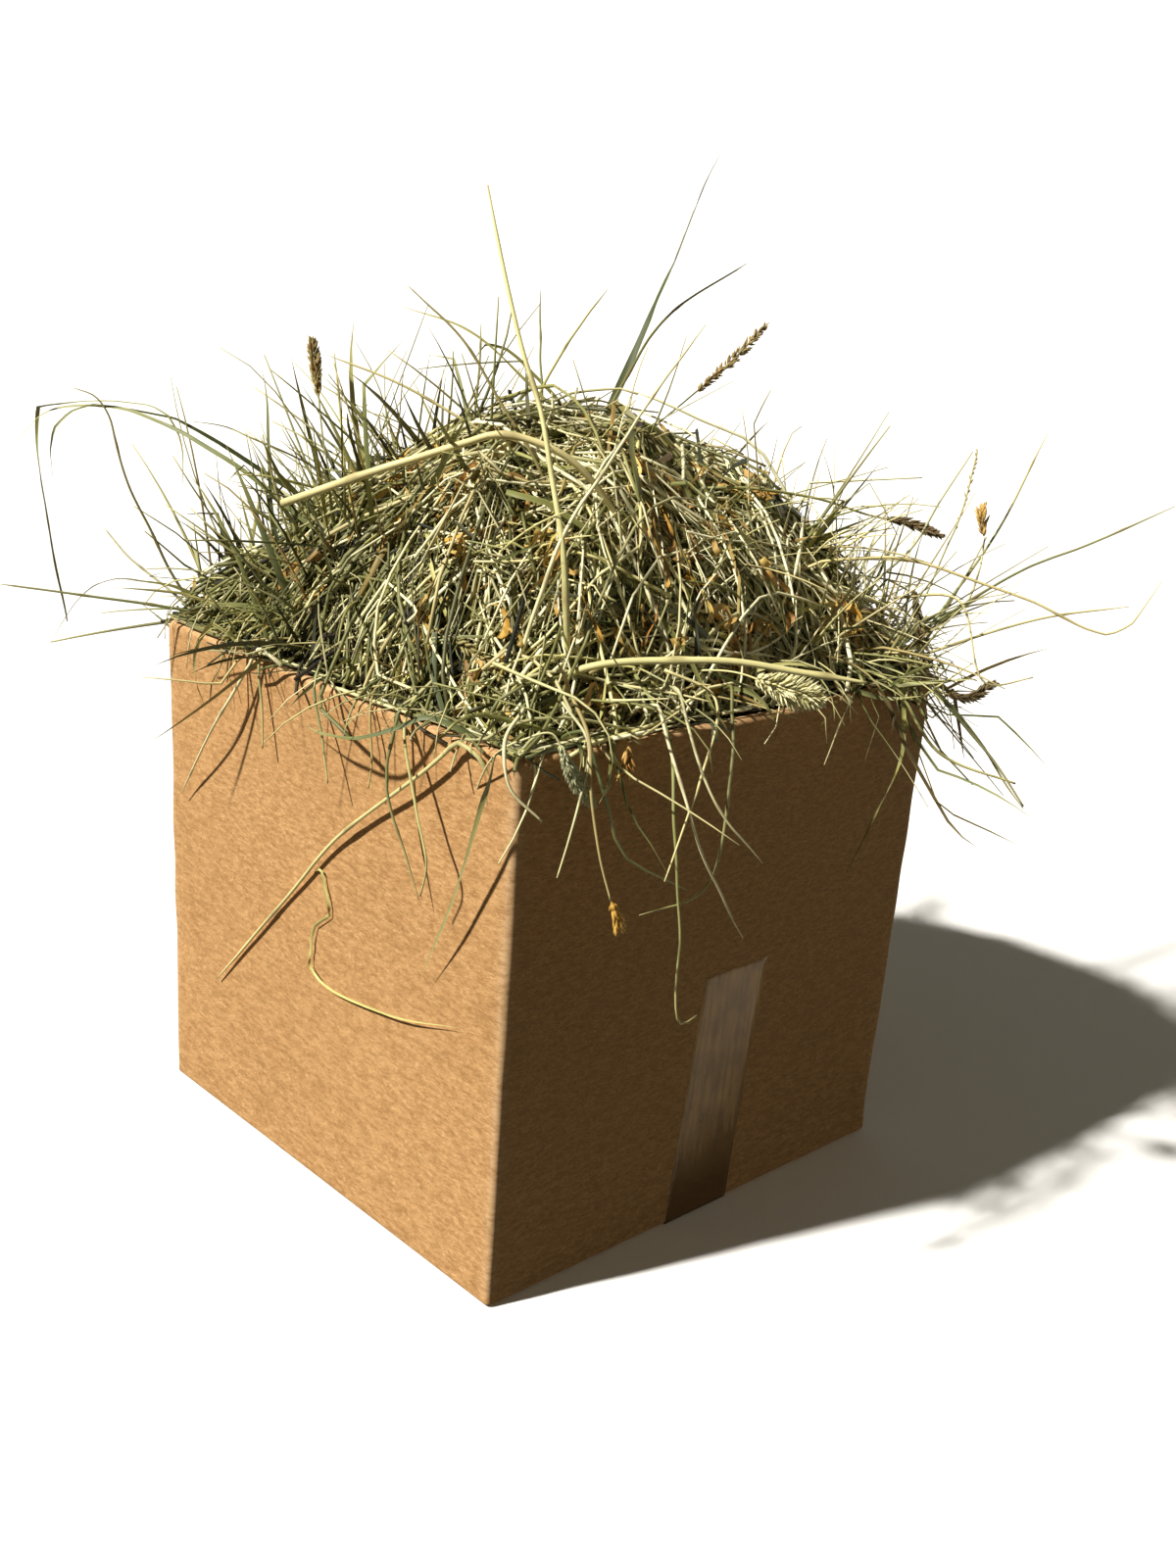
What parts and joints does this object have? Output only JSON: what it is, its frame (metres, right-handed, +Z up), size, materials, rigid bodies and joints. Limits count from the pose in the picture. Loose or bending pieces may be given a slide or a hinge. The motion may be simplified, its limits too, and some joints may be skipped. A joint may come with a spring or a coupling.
{
  "type": "carton of loose hay",
  "caption": "Open brown corrugated carton with a taped bottom, heaped above its rim with loose dried grass hay; a free-standing prop or bedding store.",
  "frame": {"origin": "centre of the carton's underside, on the tape over the bottom seam, where it rests", "axes": "+Z up; +X out of the taped end wall; -Y out of the front wall, square to it"},
  "size_m": [0.504, 0.4797, 0.5757],
  "materials": {
    "kraft_board": "matte",
    "clear_tape": "satin",
    "green_hay": "matte",
    "pale_hay": "matte",
    "seed_heads": "matte"
  },
  "bodies": {
    "root": {"wall_front": "kraft_board", "wall_back": "kraft_board", "wall_left": "kraft_board", "wall_right": "kraft_board", "bottom_flap_front": "kraft_board", "bottom_flap_back": "kraft_board", "bottom_flap_left": "kraft_board", "bottom_flap_right": "kraft_board", "top_flap_front": "kraft_board", "top_flap_back": "kraft_board", "top_flap_left": "kraft_board", "top_flap_right": "kraft_board", "clear_tape": "clear_tape", "loose_hay": "green_hay", "stem_tall_centre": "pale_hay", "blade_tall_right": "green_hay", "stem_leaning_right": "green_hay", "stem_crown_right": "pale_hay", "seed_head_crown": "seed_heads", "stem_crown_back": "green_hay", "stem_upright": "green_hay", "stem_crown_left": "seed_heads", "blade_crown_left": "green_hay", "stem_dark": "green_hay", "blade_folded": "green_hay", "seed_head_left": "seed_heads", "stem_back_left": "green_hay", "stem_long_left": "pale_hay", "blade_shoulder_left": "green_hay", "stem_stout_pale": "pale_hay", "stem_corner_left": "green_hay", "leaf_hanging_left": "green_hay", "leaf_far_left": "green_hay", "leaf_inner_left": "green_hay", "stem_far_left": "green_hay", "blade_low_left": "green_hay", "stem_short_left": "pale_hay", "blade_left_shoulder": "green_hay", "stem_right_tall": "pale_hay", "seed_head_right": "seed_heads", "stem_far_right": "green_hay", "stem_right": "pale_hay", "stem_right_bent": "pale_hay", "stem_right_low": "pale_hay", "stem_stout_right": "pale_hay", "seed_head_pale": "seed_heads", "stem_front_long": "pale_hay", "blade_front_curled": "green_hay", "stem_front_fork": "pale_hay", "blade_front_down": "green_hay", "blade_front_left": "green_hay", "stem_front_left": "pale_hay", "blade_front_dark": "green_hay", "seed_head_hanging": "seed_heads", "stem_end_knotted": "green_hay", "stem_end_long": "pale_hay", "stem_end_thin": "green_hay", "stem_end_right": "pale_hay", "blade_end_far": "green_hay"}
  },
  "joints": []
}
